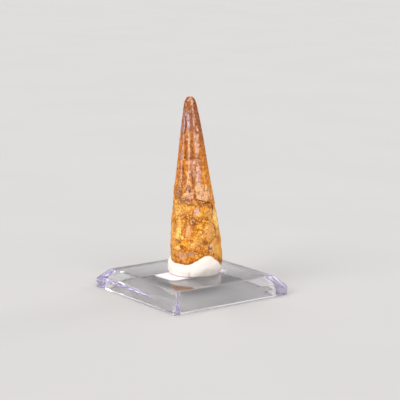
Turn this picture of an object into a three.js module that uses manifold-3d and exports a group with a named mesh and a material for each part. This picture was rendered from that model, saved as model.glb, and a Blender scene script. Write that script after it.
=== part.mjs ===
// A fossil tooth held upright by white putty on a clear moulded display base.
// Millimetres, +Z up. The origin is the middle of the base's underside.
import * as THREE from "three";
import { mergeVertices } from "three/addons/utils/BufferGeometryUtils.js";
import Module from "manifold-3d";

// Display base: a square moulding with an upright lip, a bevelled edge and a hollow underside
const BASE_SIDE = 50;
const BASE_HEIGHT = 6.8;
const LIP_HEIGHT = 3;
const BEVEL_RUN = 3.85;
const BASE_CORNER_RADIUS = 0.8;
const BASE_WALL = 4;
const PLATE_THICKNESS = 1.8;
const HOLLOW_LIP = 2.5; // height of the upright wall inside the hollow
const CUT_PAST = 1; // how far a cut runs out of the solid

// Tape strip under the putty, with one corner rounded off
const STRIP_LENGTH = 24.6;
const STRIP_WIDTH = 10.8;
const STRIP_THICKNESS = 0.3;
const STRIP_CORNER_RADIUS = 3.2;
const STRIP_TURN = THREE.MathUtils.degToRad(2);
const STRIP_CENTRE = new THREE.Vector2(-1.5, -2);

// Tooth: seen from its best face, +X is to the right and +Y goes away from the viewer
const FACE_TURN = THREE.MathUtils.degToRad(-36.7);
const FOOT_CENTRE = new THREE.Vector2(0.9, -2.35);
const FOOT_HEIGHT = 8.6;
const TOOTH_LENGTH = 62.1;
const TOOTH_DEPTH_RATIO = 0.91; // thickness over width of the section
const TOOTH_LEAN = -0.0465; // sideways drift for each millimetre of height
const TOOTH_BOW = 1.6; // how far the tip curves back
const TOOTH_COLUMNS = 84;
const FLUTES = 12;
const FLUTE_DEPTH = 0.26;
const FLUTE_FADE = 7; // the flutes fade out over this length at both ends of the crown
const FIRST_RIDGE = THREE.MathUtils.degToRad(-13);
const ROOT_RINGS = 12;
const CROWN_RINGS = 22;

// Half-widths up the tooth. The broken foot is rounded in, the enamel stands out from the root in a
// ledge, and the tip is blunt.
const ROOT_OUTLINE = new THREE.SplineCurve([
  new THREE.Vector2(8.3, 0),
  new THREE.Vector2(9.05, 4.6),
  new THREE.Vector2(8.75, 11.4),
  new THREE.Vector2(8.05, 18.8),
  new THREE.Vector2(7.1, 25.5),
]);
const CROWN_OUTLINE = new THREE.SplineCurve([
  new THREE.Vector2(7.45, 25.8),
  new THREE.Vector2(6.6, 31.3),
  new THREE.Vector2(5.55, 38.6),
  new THREE.Vector2(4.55, 45.8),
  new THREE.Vector2(3.45, 53),
  new THREE.Vector2(2.6, 57.8),
  new THREE.Vector2(2.05, 60.3),
  new THREE.Vector2(1.35, 61.7),
]);
const ENAMEL_HEIGHT = CROWN_OUTLINE.points[0].y;

// The tip is worn flat on its left: the slant of that facet, and where it would cross the axis
const WEAR_NORMAL = new THREE.Vector3(-0.865, 0, 0.505).normalize();
const WEAR_CROSSING = 63.8;

// Lumps and hollows of the worn root and the crust on it: turn round the tooth in degrees from the
// best face, height above the foot, reach, and how far the middle stands out or in
const LUMPS = [
  { turn: -35, height: 29.5, reach: 5, out: 0.35 },
  { turn: -48, height: 7.5, reach: 4.6, out: 0.22 },
  { turn: -30, height: 15, reach: 4, out: -0.3 },
  { turn: 8, height: 17.5, reach: 3.2, out: -0.35 },
  { turn: 45, height: 13, reach: 5.2, out: 0.3 },
  { turn: 66, height: 21, reach: 4, out: -0.3 },
  { turn: 118, height: 11, reach: 5, out: 0.3 },
  { turn: 150, height: 20, reach: 4.4, out: -0.35 },
  { turn: -165, height: 9, reach: 4.6, out: 0.3 },
  { turn: -125, height: 18.5, reach: 5.2, out: -0.35 },
];

// Putty: a soft pad with one big lobe at the front right, pressed up round the foot of the tooth
const PUTTY_RADIUS = 9.9;
const PUTTY_HEIGHT = 4.9;
const PUTTY_OUTLINE = [
  // share of the radius, share of the height
  [0, 0],
  [0.87, 0],
  [0.95, 0.1],
  [0.99, 0.28],
  [1, 0.45],
  [0.985, 0.62],
  [0.955, 0.78],
  [0.92, 0.9],
  [0.86, 1],
  [0.7, 1.03],
  [0, 1.03],
];
const PUTTY_COLUMNS = 56;
const PUTTY_CENTRE = new THREE.Vector2(0.2, -1.85);
const PUTTY_GAP = 0.3; // room left between the putty and the tooth
const LOBE_TURN = 31;
const LOBE_HALF_TURN = 52;
const LOBE_RISE = 3.4;
const LOBE_OUT = 0.9;
const BACK_RISE = 1.3; // the putty is pushed a little higher up the far left side
const BACK_TURN = -105;
const BACK_HALF_TURN = 55;

const wasm = await Module();
wasm.setup();

// A closed geometry as a solid that can be cut
function solidOf(geometry) {
  const bare = geometry.clone();
  bare.deleteAttribute("normal");
  bare.deleteAttribute("uv");
  const merged = mergeVertices(bare, 1e-4);
  return new wasm.Manifold(
    new wasm.Mesh({
      numProp: 3,
      vertProperties: merged.getAttribute("position").array,
      triVerts: new Uint32Array(merged.index.array),
    }),
  );
}

// The solid's faces as a geometry again
function geometryOf(solid) {
  const mesh = solid.getMesh();
  const geometry = new THREE.BufferGeometry();
  geometry.setAttribute("position", new THREE.BufferAttribute(mesh.vertProperties, 3));
  geometry.setIndex(new THREE.BufferAttribute(mesh.triVerts, 1));
  geometry.computeVertexNormals();
  return geometry;
}

// A body of revolution about +Z
function lathe(profile, columns, firstTurn = 0) {
  return new THREE.LatheGeometry(profile, columns, firstTurn).rotateX(Math.PI / 2);
}

// Moves every point of a geometry
function reshape(geometry, move) {
  const places = geometry.getAttribute("position");
  const point = new THREE.Vector3();
  for (let i = 0; i < places.count; i++) {
    point.fromBufferAttribute(places, i);
    move(point);
    places.setXYZ(i, point.x, point.y, point.z);
  }
  return geometry;
}

// Turn of a point round the tooth: 0 at the best face, positive to the right
function turnOf(point) {
  return Math.atan2(point.x, -point.y);
}

// A soft bump that is 1 at zero distance and fades to 0 at the reach
function bump(distance, reach) {
  const share = Math.min(Math.abs(distance) / reach, 1);
  return 0.5 + 0.5 * Math.cos(Math.PI * share);
}

// Shortest way round between two turns
function turnBetween(a, b) {
  return Math.atan2(Math.sin(a - b), Math.cos(a - b));
}

// Four-sided tapering block from half-widths and heights, its sides square to X and Y
function squareBlock(steps) {
  const toCorner = Math.SQRT2;
  const profile = steps.map(([half, height]) => new THREE.Vector2(half * toCorner, height));
  return lathe(profile, 4, Math.PI / 4);
}

function roundedSquare(side, radius) {
  const half = side / 2;
  const inner = half - radius;
  const shape = new THREE.Shape();
  shape.absarc(inner, -inner, radius, -Math.PI / 2, 0);
  shape.absarc(inner, inner, radius, 0, Math.PI / 2);
  shape.absarc(-inner, inner, radius, Math.PI / 2, Math.PI);
  shape.absarc(-inner, -inner, radius, Math.PI, 1.5 * Math.PI);
  return shape;
}

function displayBaseGeometry() {
  const half = BASE_SIDE / 2;
  const outer = squareBlock([
    [0, 0],
    [half, 0],
    [half, LIP_HEIGHT],
    [half - BEVEL_RUN, BASE_HEIGHT],
    [0, BASE_HEIGHT],
  ]);
  const upright = new THREE.ExtrudeGeometry(roundedSquare(BASE_SIDE, BASE_CORNER_RADIUS), {
    depth: BASE_HEIGHT,
    bevelEnabled: false,
    curveSegments: 6,
  });
  const bevelSlope = BEVEL_RUN / (BASE_HEIGHT - LIP_HEIGHT);
  const ceiling = BASE_HEIGHT - PLATE_THICKNESS;
  const innerHalf = half - BASE_WALL;
  const hollow = squareBlock([
    [0, -CUT_PAST],
    [innerHalf, -CUT_PAST],
    [innerHalf, HOLLOW_LIP],
    [innerHalf - bevelSlope * (ceiling - HOLLOW_LIP), ceiling],
    [0, ceiling],
  ]);
  return geometryOf(solidOf(outer).intersect(solidOf(upright)).subtract(solidOf(hollow)));
}

function tapeStripGeometry() {
  const halfLength = STRIP_LENGTH / 2;
  const halfWidth = STRIP_WIDTH / 2;
  const radius = STRIP_CORNER_RADIUS;
  const shape = new THREE.Shape();
  shape.moveTo(halfLength, -halfWidth);
  shape.lineTo(halfLength, halfWidth);
  shape.lineTo(-halfLength, halfWidth);
  shape.lineTo(-halfLength, radius - halfWidth);
  shape.absarc(radius - halfLength, radius - halfWidth, radius, Math.PI, 1.5 * Math.PI);
  shape.closePath();
  return new THREE.ExtrudeGeometry(shape, {
    depth: STRIP_THICKNESS,
    bevelEnabled: false,
    curveSegments: 6,
  });
}

// Profile of the tooth as a body of revolution, fattened by grow
function toothProfile(grow) {
  const sides = [...ROOT_OUTLINE.getPoints(ROOT_RINGS), ...CROWN_OUTLINE.getPoints(CROWN_RINGS)];
  for (const side of sides) side.x += grow;
  sides[0].y -= grow;
  return [
    new THREE.Vector2(0, -grow),
    ...sides,
    new THREE.Vector2(0, TOOTH_LENGTH + grow),
  ];
}

// Height of the ragged lower edge of the enamel against its mean, round the tooth
function enamelEdge(turn) {
  return 0.9 * Math.sin(turn - 2.6) + 0.7 * Math.sin(3 * turn + 0.4) + 0.3 * Math.sin(7 * turn);
}

// How far the surface stands out from the plain body of revolution
function toothRelief(turn, height) {
  const fromEnds = Math.min(height - ENAMEL_HEIGHT, TOOTH_LENGTH - height);
  const fluted = THREE.MathUtils.smoothstep(fromEnds, 0, FLUTE_FADE);
  const ridge = (0.5 + 0.5 * Math.cos(FLUTES * (turn - FIRST_RIDGE))) ** 2;
  const uneven = 0.75 + 0.25 * Math.sin(3 * turn + 1);
  let out = -FLUTE_DEPTH * fluted * uneven * (1 - ridge);
  const reachRadius = ROOT_OUTLINE.points.at(-1).x;
  for (const lump of LUMPS) {
    const turned = turnBetween(turn, THREE.MathUtils.degToRad(lump.turn));
    out += lump.out * bump(Math.hypot(turned * reachRadius, height - lump.height), lump.reach);
  }
  return out;
}

function toothGeometry(grow = 0) {
  const wearPlane = WEAR_NORMAL.z * (WEAR_CROSSING + grow);
  return reshape(lathe(toothProfile(grow), TOOTH_COLUMNS), (point) => {
    const height = point.z;
    const radius = Math.hypot(point.x, point.y);
    const turn = turnOf(point);
    if (radius > 0) {
      const scale = 1 + toothRelief(turn, height) / radius;
      point.x *= scale;
      point.y *= scale * TOOTH_DEPTH_RATIO;
      point.z += enamelEdge(turn) * bump(height - ENAMEL_HEIGHT, ENAMEL_HEIGHT);
    }
    const beyondWear = point.dot(WEAR_NORMAL) - wearPlane;
    point.addScaledVector(WEAR_NORMAL, -Math.max(beyondWear, 0));
    point.x += TOOTH_LEAN * point.z;
    point.y += TOOTH_BOW * (point.z / TOOTH_LENGTH) ** 2;
  });
}

function puttyGeometry() {
  const profile = PUTTY_OUTLINE.map(
    ([out, up]) => new THREE.Vector2(out * PUTTY_RADIUS, up * PUTTY_HEIGHT),
  );
  const lobeTurn = THREE.MathUtils.degToRad(LOBE_TURN);
  const backTurn = THREE.MathUtils.degToRad(BACK_TURN);
  const lobeReach = THREE.MathUtils.degToRad(LOBE_HALF_TURN);
  const backReach = THREE.MathUtils.degToRad(BACK_HALF_TURN);
  return reshape(lathe(profile, PUTTY_COLUMNS), (point) => {
    const turn = turnOf(point);
    const lobe = bump(turnBetween(turn, lobeTurn), lobeReach);
    const back = bump(turnBetween(turn, backTurn), backReach);
    const radius = Math.hypot(point.x, point.y);
    const height = point.z / PUTTY_HEIGHT;
    const swell = 1 + (LOBE_OUT * lobe * Math.sin(Math.PI * Math.min(height, 1))) / PUTTY_RADIUS;
    const rim = THREE.MathUtils.smoothstep(radius, 0, 0.8 * PUTTY_RADIUS);
    point.x *= swell;
    point.y *= swell;
    point.z += height * rim * (LOBE_RISE * lobe + BACK_RISE * back);
  });
}

// A piece's own colour and finish
function finish(color, roughness, options = {}) {
  return new THREE.MeshStandardMaterial({ color, roughness, metalness: 0, ...options });
}

function piece(name, geometry, material) {
  const mesh = new THREE.Mesh(geometry, material);
  mesh.name = name;
  return mesh;
}

const stripTop = BASE_HEIGHT + STRIP_THICKNESS;

const displayBase = piece(
  "display_base",
  displayBaseGeometry(),
  finish(0xe8e6f2, 0.05, { transparent: true, opacity: 0.3 }),
);

const tapeStrip = piece("tape_strip", tapeStripGeometry(), finish(0xe6dde2, 0.6));
tapeStrip.position.set(STRIP_CENTRE.x, STRIP_CENTRE.y, BASE_HEIGHT);
tapeStrip.rotation.z = STRIP_TURN;

const tooth = piece("tooth", toothGeometry(), finish(0xc48542, 0.45));
tooth.position.set(FOOT_CENTRE.x, FOOT_CENTRE.y, FOOT_HEIGHT);
tooth.rotation.z = FACE_TURN;

// The putty takes the print of the tooth's foot
const puttyPlace = new THREE.Matrix4()
  .makeRotationZ(FACE_TURN)
  .setPosition(PUTTY_CENTRE.x, PUTTY_CENTRE.y, stripTop);
tooth.updateMatrix();
const print = solidOf(toothGeometry(PUTTY_GAP).applyMatrix4(tooth.matrix));
const pad = solidOf(puttyGeometry().applyMatrix4(puttyPlace));
const putty = piece("putty", geometryOf(pad.subtract(print)), finish(0xf4efe8, 0.55));

const toothOnBase = new THREE.Group();
toothOnBase.add(displayBase, tapeStrip, putty, tooth);

export default toothOnBase;
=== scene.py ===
# %% [markdown]
# # A fossil tooth on its display base
#
# A long conical tooth stands upright in white putty, on a strip of white tape, on a square base of
# clear plastic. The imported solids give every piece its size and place. They could be dressed as they
# are, but each real surface has more to show: cracks, pits and crust on the tooth, finger-pressed
# putty, softened plastic edges. So each piece is modelled again here, in the same frame.

# %% Load the frame
import math
import random

import bmesh
import bpy
import numpy as np
from mathutils import Color, Matrix, Vector, noise


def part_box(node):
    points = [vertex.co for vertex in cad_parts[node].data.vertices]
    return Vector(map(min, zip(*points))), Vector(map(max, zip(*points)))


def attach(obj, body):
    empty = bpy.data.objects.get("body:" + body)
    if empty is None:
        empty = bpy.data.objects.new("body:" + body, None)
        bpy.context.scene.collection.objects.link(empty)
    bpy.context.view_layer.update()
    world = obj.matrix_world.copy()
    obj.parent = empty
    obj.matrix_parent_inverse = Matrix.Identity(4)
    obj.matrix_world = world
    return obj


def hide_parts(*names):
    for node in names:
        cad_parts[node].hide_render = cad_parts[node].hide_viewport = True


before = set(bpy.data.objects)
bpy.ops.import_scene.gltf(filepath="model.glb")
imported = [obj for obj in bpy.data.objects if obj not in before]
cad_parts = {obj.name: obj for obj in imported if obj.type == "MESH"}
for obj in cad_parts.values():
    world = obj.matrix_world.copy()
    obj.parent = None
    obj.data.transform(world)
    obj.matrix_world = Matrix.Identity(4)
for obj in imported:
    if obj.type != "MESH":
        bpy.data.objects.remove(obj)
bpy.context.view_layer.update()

MM = 0.001
for node_name in sorted(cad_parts):
    low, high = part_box(node_name)
    print(node_name, [round((b - a) / MM, 1) for a, b in zip(low, high)], "mm")

# %% [markdown]
# ## Camera
#
# The object is seen from a little above, across one corner of the base, with a long lens from half a
# metre away. A camera could be aimed by eye. It is placed here from its angles and distance, because
# then the numbers say how the view was taken and the frame comes out the same each time.

# %% Place the camera
CAMERA_AZIMUTH = math.radians(-36.669)
CAMERA_ELEVATION = math.radians(11.238)
CAMERA_ROLL = math.radians(0.408)
CAMERA_DISTANCE = 554.5 * MM
CAMERA_ASIDE = 3.275 * MM
CAMERA_ABOVE = 32.7 * MM
LENS = 137.48
SENSOR = 36
NEAREST = 10 * MM
FARTHEST = 100


def direction(azimuth, elevation):
    flat = math.cos(elevation)
    return Vector((math.sin(azimuth) * flat, -math.cos(azimuth) * flat, math.sin(elevation)))


towards_camera = direction(CAMERA_AZIMUTH, CAMERA_ELEVATION)
level = Vector((math.cos(CAMERA_AZIMUTH), math.sin(CAMERA_AZIMUTH), 0))
upright = towards_camera.cross(level)
camera_right = level * math.cos(CAMERA_ROLL) + upright * math.sin(CAMERA_ROLL)
camera_up = upright * math.cos(CAMERA_ROLL) - level * math.sin(CAMERA_ROLL)
camera_place = (
    towards_camera * CAMERA_DISTANCE + camera_right * CAMERA_ASIDE + camera_up * CAMERA_ABOVE
)

bpy.ops.object.select_all(action="DESELECT")
bpy.ops.object.camera_add(location=camera_place)
camera = bpy.context.object
camera.rotation_euler = Matrix((camera_right, camera_up, towards_camera)).transposed().to_euler()
camera.data.lens = LENS
camera.data.sensor_width = SENSOR
camera.data.clip_start = NEAREST
camera.data.clip_end = FARTHEST
bpy.context.scene.camera = camera
print("camera at", [round(v / MM, 1) for v in camera.location], "mm")

# %% [markdown]
# ## Floor and light
#
# A pale floor runs far behind the object, so it fills the picture. Light panels could stand round the
# object, but each would leave a bright pool on the floor below it. Sun lamps with a very wide disc are
# used instead: they are soft, like large panels, yet light the floor evenly. Two stand in front, one at
# each side behind, and one overhead. The surroundings have the floor's tone at the horizon and grow
# darker upwards, like a studio backdrop. Light caught in the clear base bounces many times before it
# comes out, so it is allowed more bounces than usual.

# %% Lay the floor
FLOOR_RADIUS = 40
FLOOR_CORNERS = 128
FLOOR_GAP = 0.05 * MM


def apply_place():
    """Takes the selected object's place, turn and size into its mesh."""
    bpy.ops.object.transform_apply(location=True, rotation=True, scale=True)


bpy.ops.object.select_all(action="DESELECT")
bpy.ops.mesh.primitive_circle_add(
    vertices=FLOOR_CORNERS, radius=FLOOR_RADIUS, fill_type="NGON", location=(0, 0, -FLOOR_GAP)
)
floor = bpy.context.object
floor.name = "floor"
apply_place()
print("floor", round(floor.dimensions.x, 2), "m across")

# %% Hang the lights
LAMP_COLOUR = (1.0, 0.955, 0.915)
LAMPS = {
    # turn from the camera, elevation, width of the disc (degrees), strength
    "key": (-48, 32, 34, 1.85),
    "fill": (28, 36, 34, 1.22),
    "right_edge": (126, 24, 26, 0.65),
    "left_edge": (-140, 52, 26, 0.65),
    "overhead": (180, 86, 120, 1.65),
}
for name, (lamp_turn, elevation, disc, strength) in LAMPS.items():
    lamp_place = direction(CAMERA_AZIMUTH + math.radians(lamp_turn), math.radians(elevation))
    bpy.ops.object.light_add(type="SUN", location=lamp_place)
    lamp = bpy.context.object
    lamp.name = name
    lamp.rotation_euler = lamp_place.to_track_quat("Z", "Y").to_euler()
    lamp.data.angle = math.radians(disc)
    lamp.data.color = LAMP_COLOUR
    lamp.data.energy = strength
print(len(LAMPS), "soft lamps")

# %% Paint the surroundings
BACKDROP_COLOUR = (1.0, 0.985, 0.965, 1)
BACKDROP_FADE = {"From Min": 0.08, "From Max": 0.3, "To Min": 0.74, "To Max": 0.12}
LIGHT_BOUNCES = 64

world = bpy.data.worlds.new("studio")
world.use_nodes = True
backdrop = world.node_tree
heading = backdrop.nodes.new("ShaderNodeTexCoord")
axes = backdrop.nodes.new("ShaderNodeSeparateXYZ")
falling = backdrop.nodes.new("ShaderNodeMapRange")
falling.interpolation_type = "SMOOTHSTEP"
for socket, value in BACKDROP_FADE.items():
    falling.inputs[socket].default_value = value
backdrop.links.new(heading.outputs["Generated"], axes.inputs[0])
backdrop.links.new(axes.outputs["Z"], falling.inputs["Value"])
backdrop.links.new(falling.outputs[0], backdrop.nodes["Background"].inputs["Strength"])
backdrop.nodes["Background"].inputs["Color"].default_value = BACKDROP_COLOUR
bpy.context.scene.world = world
bpy.context.scene.view_settings.view_transform = "Standard"
bpy.context.scene.cycles.max_bounces = LIGHT_BOUNCES
bpy.context.scene.cycles.glossy_bounces = LIGHT_BOUNCES
bpy.context.scene.cycles.transmission_bounces = LIGHT_BOUNCES
print("backdrop fades from", BACKDROP_FADE["To Min"], "to", BACKDROP_FADE["To Max"])

# %% [markdown]
# ## The clear base
#
# The real base is one moulding: an upright lip, a bevelled edge up to a flat plate, and a hollow
# underneath. It could be a lathe of four sides, but here it grows from a block as by hand: the top is
# extruded and drawn in for the bevel, and the underside is inset and pushed up for the hollow. The
# corners are rounded by cutting with a block whose upright edges are bevelled.

# %% Helpers for modelling
def on_its_own(piece):
    """Leaves edit mode and makes this the one selected object."""
    if bpy.context.mode != "OBJECT":
        bpy.ops.object.mode_set(mode="OBJECT")
    bpy.ops.object.select_all(action="DESELECT")
    piece.select_set(True)
    bpy.context.view_layer.objects.active = piece


def edit(piece):
    """Selects this object alone and enters edit mode."""
    on_its_own(piece)
    bpy.ops.object.mode_set(mode="EDIT")


def block(name, size, centre):
    """A cuboid of this size in millimetres."""
    bpy.ops.object.select_all(action="DESELECT")
    bpy.ops.mesh.primitive_cube_add(size=1, location=Vector(centre) * MM)
    made = bpy.context.object
    made.name = name
    made.scale = Vector(size) * MM
    apply_place()
    return made


def pick(piece, kind, wanted):
    """In edit mode, selects only the faces or edges that are wanted."""
    bpy.ops.mesh.select_mode(type=kind)
    bpy.ops.mesh.select_all(action="DESELECT")
    mesh = bmesh.from_edit_mesh(piece.data)
    mesh.normal_update()
    parts = {"VERT": mesh.verts, "EDGE": mesh.edges, "FACE": mesh.faces}[kind]
    chosen = [part for part in parts if wanted(part)]
    for part in chosen:
        part.select_set(True)
    mesh.select_flush_mode()
    bmesh.update_edit_mesh(piece.data)
    return len(chosen)


def extrude(x, y, z):
    """Extrudes what is selected by these millimetres."""
    bpy.ops.mesh.extrude_region_move(TRANSFORM_OT_translate={"value": (x * MM, y * MM, z * MM)})


def draw_in(share_x, share_y, centre):
    """Scales what is selected about a centre in millimetres."""
    bpy.ops.transform.resize(value=(share_x, share_y, 1), center_override=Vector(centre) * MM)


def apply_modifier(piece, title, kind, **settings):
    """Adds a modifier and applies it at once."""
    on_its_own(piece)
    modifier = piece.modifiers.new(title, kind)
    for setting, value in settings.items():
        setattr(modifier, setting, value)
    bpy.ops.object.modifier_apply(modifier=title)


def stand(piece, turned_by, centre, height):
    """Turns a piece and stands it at its place, in millimetres."""
    on_its_own(piece)
    piece.rotation_euler = (0, 0, turned_by)
    piece.location = Vector((*centre, height)) * MM
    apply_place()
    print(piece.name, [round(v / MM, 1) for v in piece.dimensions], "mm")


# %% Raise the base from a block
BASE_SIDE = 50
BASE_HEIGHT = 6.8
LIP_HEIGHT = 3
BEVEL_RUN = 3.85
BASE_WALL = 4
HOLLOW_LIP = 2.5
HOLLOW_HEIGHT = 5
BEVEL_SLOPE = BEVEL_RUN / (BASE_HEIGHT - LIP_HEIGHT)
LEVEL = 0.9

base = block("moulded_base", (BASE_SIDE, BASE_SIDE, LIP_HEIGHT), (0, 0, LIP_HEIGHT / 2))
edit(base)
pick(base, "FACE", lambda face: face.normal.z > LEVEL)
extrude(0, 0, BASE_HEIGHT - LIP_HEIGHT)
share = 1 - 2 * BEVEL_RUN / BASE_SIDE
draw_in(share, share, (0, 0, BASE_HEIGHT))

pick(base, "FACE", lambda face: face.normal.z < -LEVEL)
bpy.ops.mesh.inset(thickness=BASE_WALL * MM)
extrude(0, 0, HOLLOW_LIP)
extrude(0, 0, HOLLOW_HEIGHT - HOLLOW_LIP)
hollow_side = BASE_SIDE - 2 * BASE_WALL
share = 1 - 2 * BEVEL_SLOPE * (HOLLOW_HEIGHT - HOLLOW_LIP) / hollow_side
draw_in(share, share, (0, 0, HOLLOW_HEIGHT))
on_its_own(base)
print("base block", len(base.data.polygons), "faces")

# %% Round its corners and soften its edges
CORNER_RADIUS = 0.8
EDGE_SOFTNESS = 0.28
SHARP_ANGLE = math.radians(24)

former = block("corner_former", (BASE_SIDE, BASE_SIDE, 4 * BASE_HEIGHT), (0, 0, 0))
edit(former)
pick(former, "EDGE", lambda edge: abs(edge.verts[0].co.z - edge.verts[1].co.z) > BASE_HEIGHT * MM)
bpy.ops.mesh.bevel(offset=CORNER_RADIUS * MM, segments=6, affect="EDGES")
on_its_own(former)

apply_modifier(base, "corners", "BOOLEAN", operation="INTERSECT", object=former, solver="EXACT")
apply_modifier(
    base, "soft edges", "BEVEL", width=EDGE_SOFTNESS * MM, segments=3, limit_method="ANGLE",
    angle_limit=SHARP_ANGLE,
)
bpy.ops.object.shade_smooth_by_angle(angle=SHARP_ANGLE)
on_its_own(former)
bpy.ops.object.delete()
print("moulded base", len(base.data.polygons), "faces")

# %% [markdown]
# ## The tape strip
#
# A thin white strip lies on the plate under the putty, with one corner trimmed round. A plane with a
# picture would do from above, but the strip's edge shows from low down, so it gets its real thickness.

# %% Cut the tape strip
STRIP_LENGTH = 24.6
STRIP_WIDTH = 10.8
STRIP_THICKNESS = 0.3
STRIP_CORNER = 3.2
STRIP_TURN = math.radians(2)
STRIP_CENTRE = (-1.5, -2)
STRIP_TOP = BASE_HEIGHT + STRIP_THICKNESS
STRIP_LIFT = 0.01
STRIP_WEAR = 0.06
STRIP_SHARP_ANGLE = math.radians(40)

strip = block("stuck_strip", (STRIP_LENGTH, STRIP_WIDTH, STRIP_THICKNESS), (0, 0, 0))


def is_trimmed_corner(edge):
    upright_edge = abs(edge.verts[0].co.z - edge.verts[1].co.z) > STRIP_THICKNESS / 2 * MM
    return upright_edge and all(vert.co.x < 0 and vert.co.y < 0 for vert in edge.verts)


edit(strip)
pick(strip, "EDGE", is_trimmed_corner)
bpy.ops.mesh.bevel(offset=STRIP_CORNER * MM, segments=10, affect="EDGES")
apply_modifier(
    strip, "worn edge", "BEVEL", width=STRIP_WEAR * MM, segments=2, limit_method="ANGLE",
    angle_limit=STRIP_SHARP_ANGLE,
)
bpy.ops.object.shade_smooth_by_angle(angle=math.radians(30))
stand(strip, STRIP_TURN, STRIP_CENTRE, BASE_HEIGHT + STRIP_THICKNESS / 2 + STRIP_LIFT)

# %% [markdown]
# ## The tooth
#
# The tooth is a slightly flattened cone with a worn root below and a fluted, enamel-covered crown
# above. It could be sculpted, but code can't hold a brush. Instead a circle is extruded ring by ring
# up the outline, subdivided to a fine skin, and every later shape is weight-painted and pressed in by
# a Displace modifier, which is close to what a sculptor's brush does.

# %% Outline of the root and the crown
TOOTH_LENGTH = 62.1
TOOTH_COLUMNS = 84
DEPTH_RATIO = 0.91
LEAN = -0.0465
BOW = 1.6
ENAMEL_HEIGHT = 25.8
ROOT_OUTLINE = [(8.3, 0), (9.05, 4.6), (8.75, 11.4), (8.05, 18.8), (7.1, 25.5)]
CROWN_OUTLINE = [
    (7.45, 25.8), (6.6, 31.3), (5.55, 38.6), (4.55, 45.8),
    (3.45, 53), (2.6, 57.8), (2.05, 60.3), (1.35, 61.7),
]
LEDGE_RINGS = [(7.12, 25.62), (7.42, 25.66)]
TIP_RINGS = [(0.95, 61.95), (0.45, 62.08)]
ROOT_STEPS = 25
CROWN_STEPS = 36


def smooth_outline(points, count):
    """Places evenly along a smooth curve through the points (Catmull-Rom)."""
    last = len(points) - 1
    places = []
    for step in range(count + 1):
        along = last * step / count
        first = min(int(along), last - 1)
        t = along - first
        a, b, c, d = (np.array(points[min(max(first + k, 0), last)]) for k in (-1, 0, 1, 2))
        places.append(
            0.5 * (2 * b + (c - a) * t + (2 * a - 5 * b + 4 * c - d) * t**2
                   + (3 * b - a - 3 * c + d) * t**3)
        )
    return places


root_rings = smooth_outline(ROOT_OUTLINE, ROOT_STEPS)
crown_rings = smooth_outline(CROWN_OUTLINE, CROWN_STEPS)
tooth_rings = [*root_rings, *LEDGE_RINGS, *crown_rings, *TIP_RINGS]
print(len(tooth_rings), "rings")


# %% Extrude the tooth ring by ring
def axis_place(height):
    """Where the tooth's leaning, bowed axis is at this height."""
    return np.array((LEAN * height, BOW * (height / TOOTH_LENGTH) ** 2, height))


def extrude_rings(name, columns, depth_ratio, rings, axis):
    """A closed body from a circle that is extruded and scaled from ring to ring."""
    bpy.ops.object.select_all(action="DESELECT")
    first_radius, first_height = rings[0]
    bpy.ops.mesh.primitive_circle_add(
        vertices=columns, radius=first_radius * MM, fill_type="NGON",
        location=Vector(axis(first_height)) * MM,
    )
    made = bpy.context.object
    made.name = name
    apply_place()
    edit(made)
    draw_in(1, depth_ratio, axis(first_height))
    radius, place = first_radius, axis(first_height)
    for next_radius, next_height in rings[1:]:
        next_place = axis(next_height)
        extrude(*(next_place - place))
        draw_in(next_radius / radius, next_radius / radius, next_place)
        radius, place = next_radius, next_place
    bpy.ops.mesh.select_all(action="SELECT")
    bpy.ops.mesh.normals_make_consistent(inside=False)
    on_its_own(made)
    return made


tooth = extrude_rings("fossil_tooth", TOOTH_COLUMNS, DEPTH_RATIO, tooth_rings, axis_place)
apply_modifier(tooth, "skin", "SUBSURF", levels=2, render_levels=2)
print("tooth", len(tooth.data.vertices), "points")


# %% Measure every point of its skin
def points_of(piece):
    flat = np.empty(3 * len(piece.data.vertices))
    piece.data.vertices.foreach_get("co", flat)
    return flat.reshape(-1, 3) / MM


skin = points_of(tooth)
height = skin[:, 2].copy()
straight_x = skin[:, 0] - LEAN * height
straight_y = (skin[:, 1] - BOW * (height / TOOTH_LENGTH) ** 2) / DEPTH_RATIO
turn = np.arctan2(straight_x, -straight_y)
radius = np.hypot(straight_x, straight_y)
print("turn 0 is the best face; widest radius", round(radius.max(), 2), "mm")


# %% Helpers for pressing shapes into a skin
LEAST_WEIGHT = 0.002


def bump(distance, reach):
    """1 at no distance, fading to 0 at the reach."""
    return 0.5 + 0.5 * np.cos(np.pi * np.clip(np.abs(distance) / reach, 0, 1))


def fade(value, start, end):
    """0 before the start, 1 after the end, smooth between."""
    share = np.clip((value - start) / (end - start), 0, 1)
    return share * share * (3 - 2 * share)


def around(turns, centre):
    """Shortest turn from the centre."""
    return np.arctan2(np.sin(turns - centre), np.cos(turns - centre))


def press(piece, title, depth, weights, way="NORMAL"):
    """Moves each point by its weight times a depth in millimetres."""
    on_its_own(piece)
    group = piece.vertex_groups.new(name=title)
    for index in np.flatnonzero(weights > LEAST_WEIGHT):
        group.add([int(index)], float(weights[index]), "REPLACE")
    apply_modifier(
        piece, title, "DISPLACE", direction=way, mid_level=0, strength=depth * MM,
        vertex_group=title,
    )
    piece.vertex_groups.remove(piece.vertex_groups[title])


# %% [markdown]
# ## Shaping the tooth
#
# The enamel ends in a ragged edge that stands out from the root, twelve shallow flutes run up the
# crown, and the root is lumpy. Each of these is one weight map: a number from 0 to 1 at every point
# that says how much of the full depth it gets.

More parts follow.
